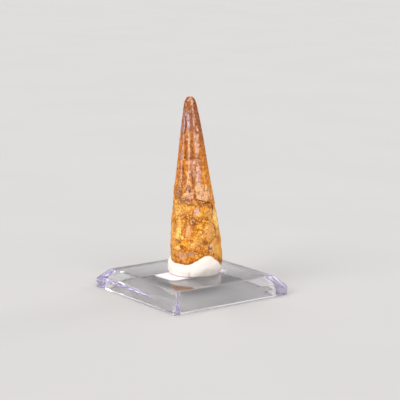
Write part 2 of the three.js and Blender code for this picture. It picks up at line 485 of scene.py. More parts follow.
# %% Ragged enamel edge, flutes and lumps
EDGE_SWING = 1.9
EDGE_WAVES = [
    # size, waves round the tooth, shift
    (0.9, 1, -2.6), (0.7, 3, 0.4), (0.3, 7, 0), (0.25, 17, 1), (0.18, 29, 0),
]
FLUTES = 12
FLUTE_DEPTH = 0.42
FIRST_RIDGE = math.radians(-13)
FLUTE_FADE = 7
LUMPS = [
    # turn (degrees), height, reach, out
    (-35, 29.5, 5, 0.35), (-48, 7.5, 4.6, 0.22), (-30, 15, 4, -0.3), (8, 17.5, 3.2, -0.35),
    (45, 13, 5.2, 0.3), (66, 21, 4, -0.3), (118, 11, 5, 0.3), (150, 20, 4.4, -0.35),
    (-165, 9, 4.6, 0.3), (-125, 18.5, 5.2, -0.35),
]

edge = sum(size * np.sin(waves * turn + shift) for size, waves, shift in EDGE_WAVES)
edge_share = edge / EDGE_SWING * bump(height - ENAMEL_HEIGHT, ENAMEL_HEIGHT)
press(tooth, "edge up", EDGE_SWING, np.clip(edge_share, 0, 1), "Z")
press(tooth, "edge down", -EDGE_SWING, np.clip(-edge_share, 0, 1), "Z")

ridge = (0.5 + 0.5 * np.cos(FLUTES * (turn - FIRST_RIDGE))) ** 2
from_ends = np.minimum(height - ENAMEL_HEIGHT, TOOTH_LENGTH - height)
fluted = fade(from_ends, 0, FLUTE_FADE) * (0.75 + 0.25 * np.sin(3 * turn + 1))
press(tooth, "flutes", -FLUTE_DEPTH, fluted * (1 - ridge))

for degrees, lump_height, reach, out in LUMPS:
    aside = around(turn, math.radians(degrees)) * ROOT_OUTLINE[-1][0]
    press(tooth, "lump", out, bump(np.hypot(aside, height - lump_height), reach))
print(FLUTES, "flutes and", len(LUMPS), "lumps and hollows")

# %% Wear the tip flat on its left
WEAR_NORMAL = Vector((-0.865, 0, 0.505)).normalized()
WEAR_CROSSING = 63.8
WEAR_DEPTH = 2

straight = points_of(tooth)
straight[:, 0] -= LEAN * straight[:, 2]
beyond = straight @ np.array(WEAR_NORMAL) - WEAR_NORMAL.z * WEAR_CROSSING
worn = np.clip(beyond, 0, WEAR_DEPTH) / WEAR_DEPTH
press(tooth, "worn across", WEAR_DEPTH * -WEAR_NORMAL.x, worn, "X")
press(tooth, "worn down", WEAR_DEPTH * -WEAR_NORMAL.z, worn, "Z")
print(int((worn > 0).sum()), "points worn")

# %% [markdown]
# ## Cracks, pits and crust
#
# Burial cracked the root into plates, pitted it, and left patches of crust. On the best face the
# cracks and pits are drawn one by one, on an upright sheet in front of the tooth, and carried straight
# back onto the skin along the line of sight. The other sides get their own from a cell pattern.

# %% Carry the front drawing onto the skin
FOOT_CENTRE = (0.9, -2.35)
FOOT_HEIGHT = 8.6
FACE_TURN = math.radians(-36.7)
to_tooth = Matrix.Rotation(-FACE_TURN, 3, "Z")
eye = np.array(to_tooth @ (camera_place / MM - Vector((*FOOT_CENTRE, FOOT_HEIGHT))))

skin = points_of(tooth)
carry = -eye[1] / (skin[:, 1] - eye[1])
sheet_u = eye[0] + (skin[:, 0] - eye[0]) * carry
sheet_v = eye[2] + (skin[:, 2] - eye[2]) * carry
front = fade(-straight_y / radius.clip(0.5), -0.1, 0.12)
print("sheet", round(sheet_u.min(), 1), "to", round(sheet_u.max(), 1), "mm wide")

# %% Cracks and pits of the best face
CRACK_LINES = [
    # strength, then places across and up
    (1.0, (-4.4, 54.8), (-4.5, 52.5), (-4.4, 50.3), (-4.6, 49.2)),
    (0.9, (-4.15, 53.4), (-4.25, 51.6), (-4.7, 49.8)),
    (0.7, (1.4, 39.7), (2.0, 38.8), (2.5, 37.5)),
    (0.55, (-5.4, 39.9), (-4.2, 40.2), (-2.7, 40.0), (-1.7, 40.4), (-0.3, 40.0), (1.2, 39.9)),
    (0.8, (-0.9, 25.3), (0.6, 24.7), (2.0, 24.5), (3.7, 24.3), (5.2, 23.5)),
    (0.5, (-5.0, 37.3), (-5.1, 35.2), (-5.2, 31.9)),
    (0.7, (0.6, 17.7), (2.0, 18.0), (3.1, 17.6), (4.3, 18.0)),
    (0.6, (5.2, 22.9), (5.4, 20.7), (5.2, 18.1)),
    (0.7, (4.3, 17.4), (5.8, 15.9), (6.6, 14.1), (6.4, 11.5), (4.3, 9.2)),
    (0.6, (2.5, 10.2), (3.4, 9.1), (4.3, 7.7), (4.1, 6.0)),
    (0.5, (-8.2, 6.8), (-6.2, 7.5), (-3.8, 7.6), (-2.8, 6.1), (-3.3, 3.7)),
    (0.45, (-2.5, 18.4), (-1.9, 17.0), (-1.0, 15.3), (-1.4, 13.7)),
    (0.4, (-5.7, 22.1), (-4.8, 19.9), (-5.1, 17.3), (-4.0, 15.1)),
    (0.4, (-0.6, 13.3), (0.7, 11.8), (2.5, 10.2)),
    (0.4, (-3.7, 11.1), (-2.2, 11.6), (-0.6, 13.3)),
    (0.4, (-7.7, 29.3), (-6.6, 28.6), (-6.2, 26.4), (-6.9, 23.9)),
    (0.5, (-4.6, 26.2), (-3.4, 26.0), (-2.1, 26.6)),
]
PITS = [
    # across, up, radius
    (-4.6, 49.3, 0.5), (-4.5, 40.2, 0.29), (-1.7, 40.4, 0.29), (-6.3, 36.1, 0.22),
    (-6.3, 35.3, 0.22), (-6.5, 33.0, 0.22), (-6.2, 32.2, 0.22), (-3.1, 32.1, 0.18),
    (-2.9, 30.5, 0.18), (1.8, 31.4, 0.18), (2.5, 30.3, 0.18), (2.1, 26.8, 0.23),
    (0.6, 28.7, 0.2), (0.7, 26.5, 0.2), (2.7, 28.7, 0.14), (1.4, 30.0, 0.14),
    (0.2, 31.6, 0.14), (0.7, 8.1, 0.29), (1.4, 7.6, 0.22), (-6.9, 10.3, 0.25),
    (-6.0, 9.6, 0.25), (-6.4, 9.1, 0.18), (5.0, 7.4, 0.25), (3.2, 12.6, 0.22),
    (0.3, 14.8, 0.22), (1.3, 15.3, 0.18), (-4.8, 13.6, 0.18), (-7.5, 13.2, 0.18),
    (-2.8, 17.0, 0.22), (-3.8, 19.7, 0.18), (3.8, 20.7, 0.18), (2.9, 22.5, 0.22),
    (-0.8, 19.2, 0.16), (-2.2, 8.1, 0.18), (-0.3, 7.0, 0.16), (-4.4, 5.9, 0.22),
    (-6.5, 4.0, 0.22), (5.7, 12.2, 0.18), (6.9, 8.9, 0.18), (-5.2, 11.8, 0.18),
]
print(len(CRACK_LINES), "cracks and", len(PITS), "pits on the best face")

# %% Draw them on the skin
CRACK_HALF_WIDTH = 0.34
WOBBLE = 0.35
WOBBLE_SIZE = 1.6
PIT_REACH = 1.5


def noise_at(places, size, seed):
    """Smooth noise of about -1 to 1 at each place, with lumps of this size."""
    shift = Vector((seed * 17.3, seed * 5.1, seed * 9.7))
    return np.array([noise.fractal(Vector(p) / size + shift, 1.0, 2.0, 3) for p in places])


wobble_u = WOBBLE * noise_at(skin, WOBBLE_SIZE, 1)
wobble_v = WOBBLE * noise_at(skin, WOBBLE_SIZE, 2)
drawn_u = sheet_u + wobble_u
drawn_v = sheet_v + wobble_v


def distance_to_line(line):
    nearest = np.full(len(skin), np.inf)
    for (u0, v0), (u1, v1) in zip(line, line[1:]):
        along_u, along_v = u1 - u0, v1 - v0
        share = (drawn_u - u0) * along_u + (drawn_v - v0) * along_v
        share = np.clip(share / (along_u**2 + along_v**2), 0, 1)
        away = np.hypot(drawn_u - u0 - share * along_u, drawn_v - v0 - share * along_v)
        nearest = np.minimum(nearest, away)
    return nearest


cracks = np.zeros(len(skin))
crack_width = CRACK_HALF_WIDTH * np.clip(1 + 1.1 * noise_at(skin, 1.2, 9), 0.35, 1.8)
for strength, *line in CRACK_LINES:
    cracks = np.maximum(cracks, strength * bump(distance_to_line(line), crack_width))
cracks *= front
pits = np.zeros(len(skin))
for pit_u, pit_v, pit_radius in PITS:
    away = np.hypot(drawn_u - pit_u, drawn_v - pit_v)
    pits = np.maximum(pits, bump(away, PIT_REACH * pit_radius))
pits *= front
print(int((cracks > 0.5).sum()), "points in cracks,", int((pits > 0.5).sum()), "in pits")

# %% Crack and pit the other sides
PLATE_SIZE = 4.2
PIT_SPACING = 1.7
root = 1 - fade(height, ENAMEL_HEIGHT - 0.25, ENAMEL_HEIGHT - 0.1)


def cells(places, size, seed):
    """Distances to the two nearest cell centres, and a number from 0 to 1 that each cell keeps."""
    shift = Vector((seed * 3.7, seed * 8.1, seed * 1.9))
    found = [noise.voronoi(Vector(p) / size + shift) for p in places]
    near, next_near = np.array([distances[:2] for distances, _ in found]).T
    own = np.array([centres[0] for _, centres in found]) @ np.array((12.99, 78.23, 37.72))
    return near, next_near, np.sin(own) * 0.5 + 0.5


warped = skin + np.stack([wobble_u, wobble_v, wobble_v], 1) * 2
near, next_near, plate_tone = cells(warped, PLATE_SIZE, 3)
plate_gap = next_near - near
pit_distance, _, _ = cells(warped, PIT_SPACING, 4)
broken = fade(noise_at(skin, 6, 5), -0.15, 0.25)
plate_cracks = 0.85 * (1 - fade(plate_gap, 0.0, 0.12)) * broken * root
small_pits = 1 - fade(pit_distance, 0.1, 0.28)
small_pits *= fade(noise_at(skin, 5, 6), 0.0, 0.3) * (0.4 + 0.6 * root)
cracks = np.maximum(cracks, plate_cracks * (1 - front) + 0.35 * plate_cracks * front)
pits = np.maximum(pits, small_pits * (1 - 0.5 * front))
print(int((cracks > 0.5).sum()), "points in cracks,", int((pits > 0.5).sum()), "in pits")

# %% Press in the relief
CRACK_DEPTH = 0.22
PIT_DEPTH = 0.28
ROUGH_SWELL = 0.3
GRAIN_DEPTH = 0.1

swell = np.clip(0.5 + 0.7 * noise_at(skin, 2.6, 7), 0, 1)
grain = np.clip(0.5 + 0.8 * noise_at(skin, 0.8, 8), 0, 1)
foot_and_root = root * fade(height, 0, 2)
press(tooth, "swell", ROUGH_SWELL, foot_and_root * swell)
press(tooth, "grain", GRAIN_DEPTH, foot_and_root * grain)
press(tooth, "cracks", -CRACK_DEPTH, cracks)
press(tooth, "pits", -PIT_DEPTH, pits)
print("relief of", CRACK_DEPTH, "mm cracks and", PIT_DEPTH, "mm pits")

# %% [markdown]
# ## Painting masks on the tooth
#
# The colours lie in patches: pale enamel, golden and pink mineral, brown stain, mauve crust. A picture
# could be wrapped round the tooth, but then the patches would be as coarse as the picture. Each colour
# gets a mask instead, a number stored at every point, from a few listed ellipses. The
# material breaks up their edges with noise, so the patches stay sharp from close by.

# %% Patches of the best face
# Some patches are painted highlights: most of the pale ones and part of the pink ones.
FRONT_PATCHES = {
    # across, up, half width, half height, tilt to the right (degrees), strength
    "shell": [
        (0.7, 28.6, 1.25, 3.4, -3, 1), (1.8, 26.2, 2.2, 1.3, 0, 1), (4.9, 26.3, 0.43, 1.45, -8, 0.9),
        (3.0, 28.6, 0.3, 2.0, -4, 0.7), (4.0, 27.4, 0.3, 1.5, -5, 0.7), (-3.7, 27.2, 1.3, 0.8, 12, 1),
        (-3.5, 33.0, 0.7, 2.8, -2, 0.7), (-3.1, 43.9, 0.5, 3.2, -4, 0.6),
    ],
    "cream": [
        (-7.1, 20.3, 0.85, 1.25, 10, 0.7), (-6.5, 13.2, 0.75, 2.4, 6, 1),
        (-6.2, 17.6, 0.6, 0.9, 10, 0.8), (-5.3, 11.0, 0.45, 0.7, 0, 0.8),
        (-6.9, 7.4, 0.85, 0.6, 20, 0.9), (6.4, 18.2, 0.6, 2.9, -9, 1),
        (1.9, 11.6, 0.55, 0.6, 0, 0.9), (1.5, 13.3, 0.45, 0.6, 0, 0.8),
        (3.1, 15.2, 0.58, 0.9, 20, 0.6), (-5.1, 20.2, 0.51, 0.72, 0, 0.7),
        (-1.1, 8.5, 0.9, 0.72, 0, 0.6),
    ],
    "gold": [
        (1.0, 18.9, 0.9, 1.2, 0, 0.8), (0.8, 14.0, 0.94, 1.52, 0, 0.8),
        (2.2, 17.6, 0.8, 0.7, 0, 0.9), (-4.2, 8.9, 0.95, 0.6, 10, 1),
        (-7.5, 24.6, 0.51, 2.17, 4, 0.9), (-4.4, 59.2, 0.36, 0.72, 0, 0.6),
        (-0.8, 10.4, 1.08, 1.08, 0, 0.6), (2.4, 21.0, 0.87, 0.94, 0, 0.6),
        (7.2, 6.7, 0.8, 3.25, -6, 0.8), (-4.8, 16.9, 0.58, 1.81, 0, 0.45),
        (-4.9, 22.6, 1.0, 1.0, 0, 0.5), (-6.7, 35.4, 0.7, 3.2, -4, 0.25),
    ],
    "peach": [
        (4.5, 13.6, 1.8, 2.7, 8, 0.95), (5.9, 7.3, 1.7, 2.2, 10, 0.95), (-5.8, 5.0, 2.4, 2.0, 8, 0.9),
        (0.1, 8.8, 2.4, 1.9, 0, 0.85), (-3.2, 13.4, 1.1, 2.6, 8, 0.8), (-1.6, 21.4, 1.3, 1.0, 0, 0.6),
        (3.6, 20.4, 1.2, 1.6, 0, 0.6),
    ],
    # Pink mineral, and a painted pinkish-white highlight down the crown's middle ridge.
    "pink_and_highlight": [
        (-1.6, 55.7, 0.45, 6.51, -8, 0.95), (-1.7, 38.5, 2.17, 1.08, 2, 0.85),
        (-0.5, 45.0, 0.6, 4.6, -5, 1), (0.2, 35.2, 0.8, 4.2, -3, 1), (-2.2, 35.4, 1.5, 2.8, 0, 0.55),
        (-3.5, 46.7, 0.51, 1.08, 0, 0.8), (0.1, 20.8, 0.75, 1.6, 4, 1),
        (-3.3, 13.5, 0.5, 1.8, 8, 0.7), (5.0, 7.6, 0.8, 1.1, 10, 0.7),
        (-0.2, 49.5, 0.4, 3.2, -6, 0.9), (-3.5, 53.2, 0.4, 2.17, -4, 0.8),
        (-2.0, 26.8, 0.58, 1.08, 0, 0.6), (-6.0, 47.1, 0.43, 2.53, -5, 0.6),
        (-0.4, 45.7, 0.29, 1.08, 0, 0.7), (-5.8, 4.6, 1.4, 1.2, 8, 0.6),
    ],
    # Painted lavender-white highlights, mostly on the upper crown, and a lavender-grey mark on the
    # root.
    "lavender_and_highlight": [
        (-4.95, 53.5, 0.4, 2.6, -6, 0.9), (-3.5, 53.6, 0.38, 2.8, -5, 0.9),
        (-4.25, 56.3, 0.7, 1.3, -8, 0.6), (-5.95, 41.2, 0.43, 1.3, 0, 0.6),
        (-3.9, 53.5, 1.7, 4.2, -6, 0.45), (-5.5, 51.0, 0.4, 2.2, -6, 0.7),
        (0.1, 20.8, 0.5, 1.15, 4, 0.9), (-1.8, 4.9, 1.1, 0.25, -4, 0.7),
        (-0.3, 37.9, 0.4, 0.9, 0, 0.6),
    ],
    "mauve": [
        (-5.7, 31.0, 0.65, 1.08, -10, 0.9), (-3.5, 28.9, 1.27, 1.19, 15, 1),
        (-6.6, 27.5, 1.01, 2.46, 4, 0.85), (-4.3, 24.9, 1.95, 1.19, -5, 0.95),
        (-4.1, 57.3, 0.58, 0.76, 0, 0.8), (-4.2, 55.7, 0.72, 1.23, -10, 0.75),
        (-6.0, 41.3, 0.51, 1.45, 0, 0.75), (-1.8, 4.8, 1.45, 0.47, -4, 0.95),
        (-5.2, 53.2, 0.51, 1.81, -6, 0.6), (-4.7, 30.1, 0.58, 0.94, 0, 0.8),
        (-5.9, 5.2, 2.0, 1.6, 8, 0.5), (-1.6, 17.4, 0.9, 1.5, 10, 0.6),
    ],
    "brown": [
        (-2.5, 52.8, 0.29, 3.98, -7, 0.9), (-2.1, 43.9, 0.36, 3.43, -4, 0.85),
        (-1.9, 33.7, 0.4, 3.61, -3, 0.85), (-5.1, 34.6, 0.43, 3.18, -4, 1),
        (0.0, 53.9, 0.8, 5.2, -9, 0.85), (-1.0, 26.8, 0.47, 1.95, -3, 0.9),
        (1.8, 23.6, 2.7, 0.6, 6, 1), (-3.0, 23.0, 2.35, 0.51, -4, 0.8),
        (-2.8, 18.6, 0.9, 1.66, 10, 0.75), (-1.7, 16.6, 1.2, 1.9, 15, 1),
        (-8.0, 17.1, 0.54, 1.16, 0, 0.8), (2.7, 9.6, 1.01, 0.8, -20, 0.9),
        (-6.3, 9.9, 0.98, 0.8, 10, 0.9), (5.0, 7.4, 0.4, 0.36, 0, 1),
        (-4.2, 43.9, 0.5, 3.4, -4, 1), (-1.7, 40.1, 2.53, 0.33, 2, 0.8),
        (-4.3, 59.9, 0.4, 1.08, -10, 0.5), (4.5, 22.5, 0.94, 0.8, 0, 0.7),
        (-5.2, 22.4, 0.72, 0.72, 0, 0.6),
    ],
}
print(sum(len(p) for p in FRONT_PATCHES.values()), "patches on the best face")


# %% Paint the best face
def patch(across, up, half_width, half_height, tilt, strength):
    """1 inside a soft ellipse, one half on its rim, 0 well outside."""
    lean = math.radians(tilt)
    along = (across * math.sin(lean) + up * math.cos(lean)) / half_height
    beside = (across * math.cos(lean) - up * math.sin(lean)) / half_width
    return strength * np.clip(1.5 - np.hypot(along, beside), 0, 1)


def rags(seed):
    """Coarse and finer noise that makes the rim of a patch ragged."""
    return 0.9 * noise_at(skin, 2.4, seed) + 0.45 * noise_at(skin, 0.9, seed + 1)


ragged_u = rags(12)
ragged_v = rags(14)
masks = {}
for colour_name, patches in FRONT_PATCHES.items():
    masks[colour_name] = np.zeros(len(skin))
    for u, v, half_width, half_height, tilt, strength in patches:
        across = sheet_u + ragged_u * min(half_width, 1) - u
        up = sheet_v + ragged_v * min(half_height, 1) - v
        found = patch(across, up, half_width, half_height, tilt, strength)
        masks[colour_name] = np.maximum(masks[colour_name], found * front)
print("painted", ", ".join(masks))

# %% Paint the other sides
BACK_PATCHES = {
    # on the root, on the crown, near the enamel's edge
    "shell": (0, 8, 4),
    "cream": (10, 0, 1),
    "gold": (9, 0, 1),
    "peach": (12, 0, 1),
    "pink_and_highlight": (4, 7, 1),
    # A few painted highlights on the other sides as well.
    "lavender_and_highlight": (1, 2, 0),
    "mauve": (3, 3, 6),
    "brown": (12, 9, 4),
}
BACK_ZONES = [
    # heights, half widths and half heights, in the same order
    ((3, 24), (0.6, 2.2), (0.7, 2.6)),
    ((30, 59), (0.3, 0.7), (2, 5)),
    ((23, 31), (0.9, 2.2), (0.8, 2.2)),
]
maker = random.Random(41)


def back_patch(colour_name, heights, widths, lengths):
    centre = math.radians(maker.uniform(88, 272))
    v = maker.uniform(*heights)
    half_width = maker.uniform(*widths)
    half_height = maker.uniform(*lengths)
    tilt = maker.uniform(-12, 12)
    strength = maker.uniform(0.65, 1)
    across = around(turn, centre) * radius + ragged_u * min(half_width, 1)
    up = height - v + ragged_v * min(half_height, 1)
    found = patch(across, up, half_width, half_height, tilt, strength)
    masks[colour_name] = np.maximum(masks[colour_name], found * (1 - front))


for colour_name, counts in BACK_PATCHES.items():
    for count, zone in zip(counts, BACK_ZONES):
        for _ in range(count):
            back_patch(colour_name, *zone)
print(sum(sum(counts) for counts in BACK_PATCHES.values()), "patches on the other sides")

# %% Raise the crust
CRUST_HEIGHT = 0.2

crust = fade(masks["mauve"], 0.3, 0.8) * fade(height, 18, 21) * (1 - fade(height, 33, 36))
press(tooth, "crust", CRUST_HEIGHT, crust * np.clip(0.45 + 0.9 * noise_at(skin, 0.9, 18), 0, 1))
print(int((crust > 0.5).sum()), "points under crust")

# %% Broad bands up the crown
# The amber bands are the enamel's amber; the two at 58 and -78 degrees, at the edges of the best face,
# also paint a rim glow there.
AMBER_AND_RIM_GLOW_BANDS = [
    # turn, half turn (degrees), lowest, highest, strength
    (58, 34, 24, 62, 1.0), (-28, 9, 28, 48, 0.8), (-78, 16, 24, 60, 0.7), (128, 22, 26, 60, 0.55),
    (172, 14, 24, 50, 0.5), (-142, 20, 24, 60, 0.55),
]
ROSE_BANDS = [
    (-46, 16, 36, 62, 0.9), (16, 9, 30, 62, 0.6), (98, 16, 40, 62, 0.7), (-110, 18, 34, 62, 0.7),
    (-172, 16, 42, 62, 0.8),
]
lengthways = skin * np.array((1, 1, 0.18))
turned = turn + 0.16 * noise_at(lengthways, 2.2, 16) + 0.07 * noise_at(lengthways, 0.8, 17)


def bands(rows):
    """Soft bands up the tooth, the strongest wherever two meet."""
    found = np.zeros(len(skin))
    for degrees, half_turn, lowest, highest, strength in rows:
        beside = bump(around(turned, math.radians(degrees)), 1.5 * math.radians(half_turn))
        up = fade(height, lowest - 2, lowest + 2) * (1 - fade(height, highest - 3, highest + 3))
        found = np.maximum(found, strength * beside * up)
    return found


# Amber colour, with a painted rim glow at the best face's edges.
masks["amber_and_rim_glow"] = bands(AMBER_AND_RIM_GLOW_BANDS)
masks["rose"] = bands(ROSE_BANDS)
print(len(AMBER_AND_RIM_GLOW_BANDS), "amber and", len(ROSE_BANDS), "rose bands")

# %% Paint a contact shadow on the root above the putty
RIM_HEIGHT = 3.4
LOBE_TURN = math.radians(31)
LOBE_REACH = math.radians(52)
LOBE_RISE = 3.4
BACK_TURN = math.radians(-105)
BACK_REACH = math.radians(55)
BACK_RISE = 1.3
CONTACT_SHADOW_REACH = 1.4

rim = RIM_HEIGHT + LOBE_RISE * bump(around(turn, LOBE_TURN), LOBE_REACH)
rim += BACK_RISE * bump(around(turn, BACK_TURN), BACK_REACH)
# A dark band just above the putty's rim, broken by noise: painted contact shadow where the putty meets
# the tooth.
contact_shadow = bump(height - rim, CONTACT_SHADOW_REACH)
masks["contact_shadow"] = contact_shadow * np.clip(0.6 + 1.2 * noise_at(skin, 1.1, 19), 0, 1)
print("putty's rim", round(rim.min(), 1), "to", round(rim.max(), 1), "mm above the foot")


# %% Store the masks on the mesh
def store(piece, title, values):
    attribute = piece.data.attributes.new(title, "FLOAT", "POINT")
    attribute.data.foreach_set("value", np.asarray(values, dtype=np.float32))


masks["enamel"] = 1 - root
# The ridge mask carries a painted highlight along the flute ridges.
masks["ridge"] = ridge * fade(from_ends, 0, FLUTE_FADE)
masks["crack"] = np.maximum(cracks, pits)
masks["rise"] = height / TOOTH_LENGTH
masks["plate"] = plate_tone
# The groove mask carries painted shade in the flute grooves.
masks["groove_shade"] = fluted * (1 - ridge) ** 2
masks["swell"] = swell
for title, values in masks.items():
    store(tooth, title, values)
print("masks:", ", ".join(masks))

# %% Stand the tooth in its place
on_its_own(tooth)
bpy.ops.object.shade_smooth()
stand(tooth, FACE_TURN, FOOT_CENTRE, FOOT_HEIGHT)

# %% [markdown]
# ## The putty
#
# Soft white putty was rolled, set on the strip and pressed up round the foot of the tooth, with one big
# lobe at the front right. It could be cut out with the tooth's shape, but a cut leaves a hard edge. So
# it is a cup: rings go up the outside, over a rounded rim and down again inside the tooth, where they
# can't be seen, and the tooth stands in it with no gap.

# %% Extrude the putty cup
PUTTY_CENTRE = (0.2, -1.85)
PUTTY_COLUMNS = 72
PUTTY_RINGS = [
    # radius and height
    (8.6, 0.02), (9.25, 0.25), (9.62, 0.8), (9.83, 1.5), (9.9, 2.2), (9.82, 2.9),
    (9.62, 3.6), (9.3, 4.25), (8.9, 4.7), (8.45, 4.9),
]
POCKET_RINGS = [(7.9, 4.7), (7.5, 3.4), (7.2, 1.6)]
POCKET_CENTRE = np.array((0.86, 0.02, 0))
NEAR_TOP = 4


def putty_axis(ring_height):
    return np.array((0, 0, ring_height))


putty = extrude_rings("pressed_putty", PUTTY_COLUMNS, 1, PUTTY_RINGS, putty_axis)
edit(putty)
top_radius, top_height = PUTTY_RINGS[-1]
pick(
    putty, "FACE",
    lambda face: face.normal.z > LEVEL and face.calc_center_median().z > NEAR_TOP * MM,
)
pocket_radius, pocket_height = POCKET_RINGS[0]
extrude(*POCKET_CENTRE[:2], pocket_height - top_height)
pocket_place = POCKET_CENTRE + np.array((0, 0, pocket_height))
share = pocket_radius / top_radius
draw_in(share, share * DEPTH_RATIO, pocket_place)
for next_radius, next_height in POCKET_RINGS[1:]:
    extrude(0, 0, next_height - pocket_height)
    pocket_place = POCKET_CENTRE + np.array((0, 0, next_height))
    draw_in(next_radius / pocket_radius, next_radius / pocket_radius, pocket_place)
    pocket_radius, pocket_height = next_radius, next_height
apply_modifier(putty, "skin", "SUBSURF", levels=2, render_levels=2)
print("putty", len(putty.data.vertices), "points")

# %% Push up the lobes
LOBE_OUT = 0.9

pad = points_of(putty)
pad_turn = np.arctan2(pad[:, 0], -pad[:, 1])
pad_share = pad[:, 2] / top_height
lobe = bump(around(pad_turn, LOBE_TURN), LOBE_REACH)
back_lobe = bump(around(pad_turn, BACK_TURN), BACK_REACH)
outer = fade(np.hypot(pad[:, 0], pad[:, 1]), 0, POCKET_RINGS[0][0])
rising = np.clip(pad_share * outer, 0, 1)
press(putty, "lobe out", LOBE_OUT, lobe * np.sin(np.pi * np.clip(pad_share, 0, 1)))
press(putty, "lobe up", LOBE_RISE, lobe * rising, "Z")
press(putty, "back up", BACK_RISE, back_lobe * rising, "Z")
print("lobes", LOBE_RISE, "and", BACK_RISE, "mm high")

# %% Leave the dents of fingers
DENT_DEPTH = 0.34
CREASE_DEPTH = 0.3
CREASE_REACH = 1.3
CREASE_TOP = math.radians(-2)
CREASE_FOOT = math.radians(-11)
NICK_DEPTH = 0.35
NICK_REACH = 0.5
NICK_HEIGHT = 0.5
NICK_RISE = 0.8
PUTTY_RADIUS = 9.5

dents = np.clip(0.5 + 0.9 * noise_at(points_of(putty), 4.5, 11), 0, 1)
free = fade(pad[:, 2], 0.2, 1.4)
crease_turn = CREASE_FOOT + (CREASE_TOP - CREASE_FOOT) * np.clip(pad_share, 0, 1)
crease = bump(around(pad_turn, crease_turn) * PUTTY_RADIUS, CREASE_REACH)
crease = crease * fade(pad_share, 0, 0.25) * outer
nick = bump(around(pad_turn, CREASE_FOOT) * PUTTY_RADIUS, NICK_REACH)
nick = nick * bump(pad[:, 2] - NICK_HEIGHT, NICK_RISE)
press(putty, "dents", -DENT_DEPTH, dents * free)
press(putty, "crease", -CREASE_DEPTH, crease * (1 - fade(pad_share, 0.75, 1)))
press(putty, "nick", -NICK_DEPTH, nick)
on_its_own(putty)
bpy.ops.object.shade_smooth()
stand(putty, FACE_TURN, PUTTY_CENTRE, STRIP_TOP)

# %% [markdown]
# ## Materials
#
# Each material is a small tree of nodes. Colours are written as they look, from 0 to 255, and turned
# into the linear light that the shader works with. Grain sizes are given in millimetres.

# %% Helpers for materials
def seen(red, green, blue):
    """A colour as it looks, as the shader's linear colour."""
    linear = Color((red / 255, green / 255, blue / 255)).from_srgb_to_scene_linear()
    return (*linear, 1)


def new_material(name):
    material = bpy.data.materials.new(name)
    material.use_nodes = True
    tree = material.node_tree
    return material, tree, tree.nodes["Principled BSDF"]


def fill(tree, node, inputs):
    """Links each input to a socket or sets it to a value."""
    for socket, value in inputs.items():
        if isinstance(value, bpy.types.NodeSocket):
            tree.links.new(value, node.inputs[socket])
        else:
            node.inputs[socket].default_value = value


def wire(tree, kind, inputs, **settings):
    """Adds a node and fills its inputs."""
    made = tree.nodes.new(kind)
    for setting, value in settings.items():
        setattr(made, setting, value)
    fill(tree, made, inputs)
    return made


def object_place(tree, scale=(1, 1, 1)):
    """Object coordinates. A scale below 1 draws grains out along its axis."""
    place = tree.nodes.new("ShaderNodeTexCoord").outputs["Object"]
    return wire(tree, "ShaderNodeMapping", {"Vector": place, "Scale": scale}).outputs[0]


def grains(tree, place, size, detail=3.0, roughness=0.55):
    """Noise with lumps of about this size in millimetres."""
    values = {"Vector": place, "Scale": 0.5 / (size * MM), "Detail": detail, "Roughness": roughness}
    return wire(tree, "ShaderNodeTexNoise", values).outputs[0]


def between(tree, value, start, end, low=0.0, high=1.0):
    """Goes smoothly from low to high as the value goes from start to end."""
    limits = {"From Min": start, "From Max": end, "To Min": low, "To Max": high}
    return wire(
        tree, "ShaderNodeMapRange", {"Value": value, **limits}, interpolation_type="SMOOTHSTEP"
    ).outputs[0]


def lay(tree, below, above, mask):
    """Lays one colour over another where the mask is 1."""
    mix = wire(tree, "ShaderNodeMix", {0: mask, 6: below, 7: above}, data_type="RGBA")
    return mix.outputs[2]


def emboss(tree, shader, relief, strength, depth):
    """Raises a surface's grain by up to this depth in millimetres."""
    values = {"Height": relief, "Strength": strength, "Distance": depth * MM}
    fill(tree, shader, {"Normal": wire(tree, "ShaderNodeBump", values).outputs[0]})


def dress(piece, material):
    piece.data.materials.clear()
    piece.data.materials.append(material)


# %% Floor: pale paper
paper, tree, shader = new_material("pale_paper")
shade = between(tree, grains(tree, object_place(tree), 40), 0.3, 0.7)
tone = lay(tree, seen(188, 190, 192), seen(190, 192, 194), shade)
fill(tree, shader, {"Base Color": tone, "Roughness": 0.85, "Specular IOR Level": 0})
dress(floor, paper)
print("floor dressed")

# %% [markdown]
# ### Clear plastic
#
# The base is clear polystyrene-like plastic: light bends in it, its faces mirror a little, and thick
# edges look faintly lavender. Thin glass could be faked with a see-through surface, but only real
# refraction with a little absorption gives the bright and dark lines along its edges.

# %% Base: clear plastic
CLEAR_IOR = 1.5
CLEAR_DENSITY = 27
CLEAR_TINT = (0.77, 0.74, 0.9, 1)

clear, tree, shader = new_material("clear_plastic")
scuffs = grains(tree, object_place(tree, (1, 6, 1)), 1.2, detail=5)
flow = grains(tree, object_place(tree), 9, detail=2)
coat = {
    "Base Color": (1, 1, 1, 1),
    "Transmission Weight": 1,
    "IOR": CLEAR_IOR,
    "Roughness": between(tree, scuffs, 0.55, 0.8, 0.015, 0.09),
}
fill(tree, shader, coat)
emboss(tree, shader, flow, 0.03, 0.2)
tinting = {"Color": CLEAR_TINT, "Density": CLEAR_DENSITY}
absorb = wire(tree, "ShaderNodeVolumeAbsorption", tinting)
fill(tree, tree.nodes["Material Output"], {"Volume": absorb.outputs[0]})
dress(base, clear)
print("clear plastic, IOR", CLEAR_IOR)

# %% [markdown]
# ### Putty and tape
#
# The putty is a dense, slightly waxy white, so a little light spreads under its skin and its finish is
# between matt and satin. The tape is a matt paper white with fine fibres along its length.

# %% Putty: waxy white
def calc(tree, operation, first, second):
    return wire(tree, "ShaderNodeMath", {0: first, 1: second}, operation=operation).outputs[0]


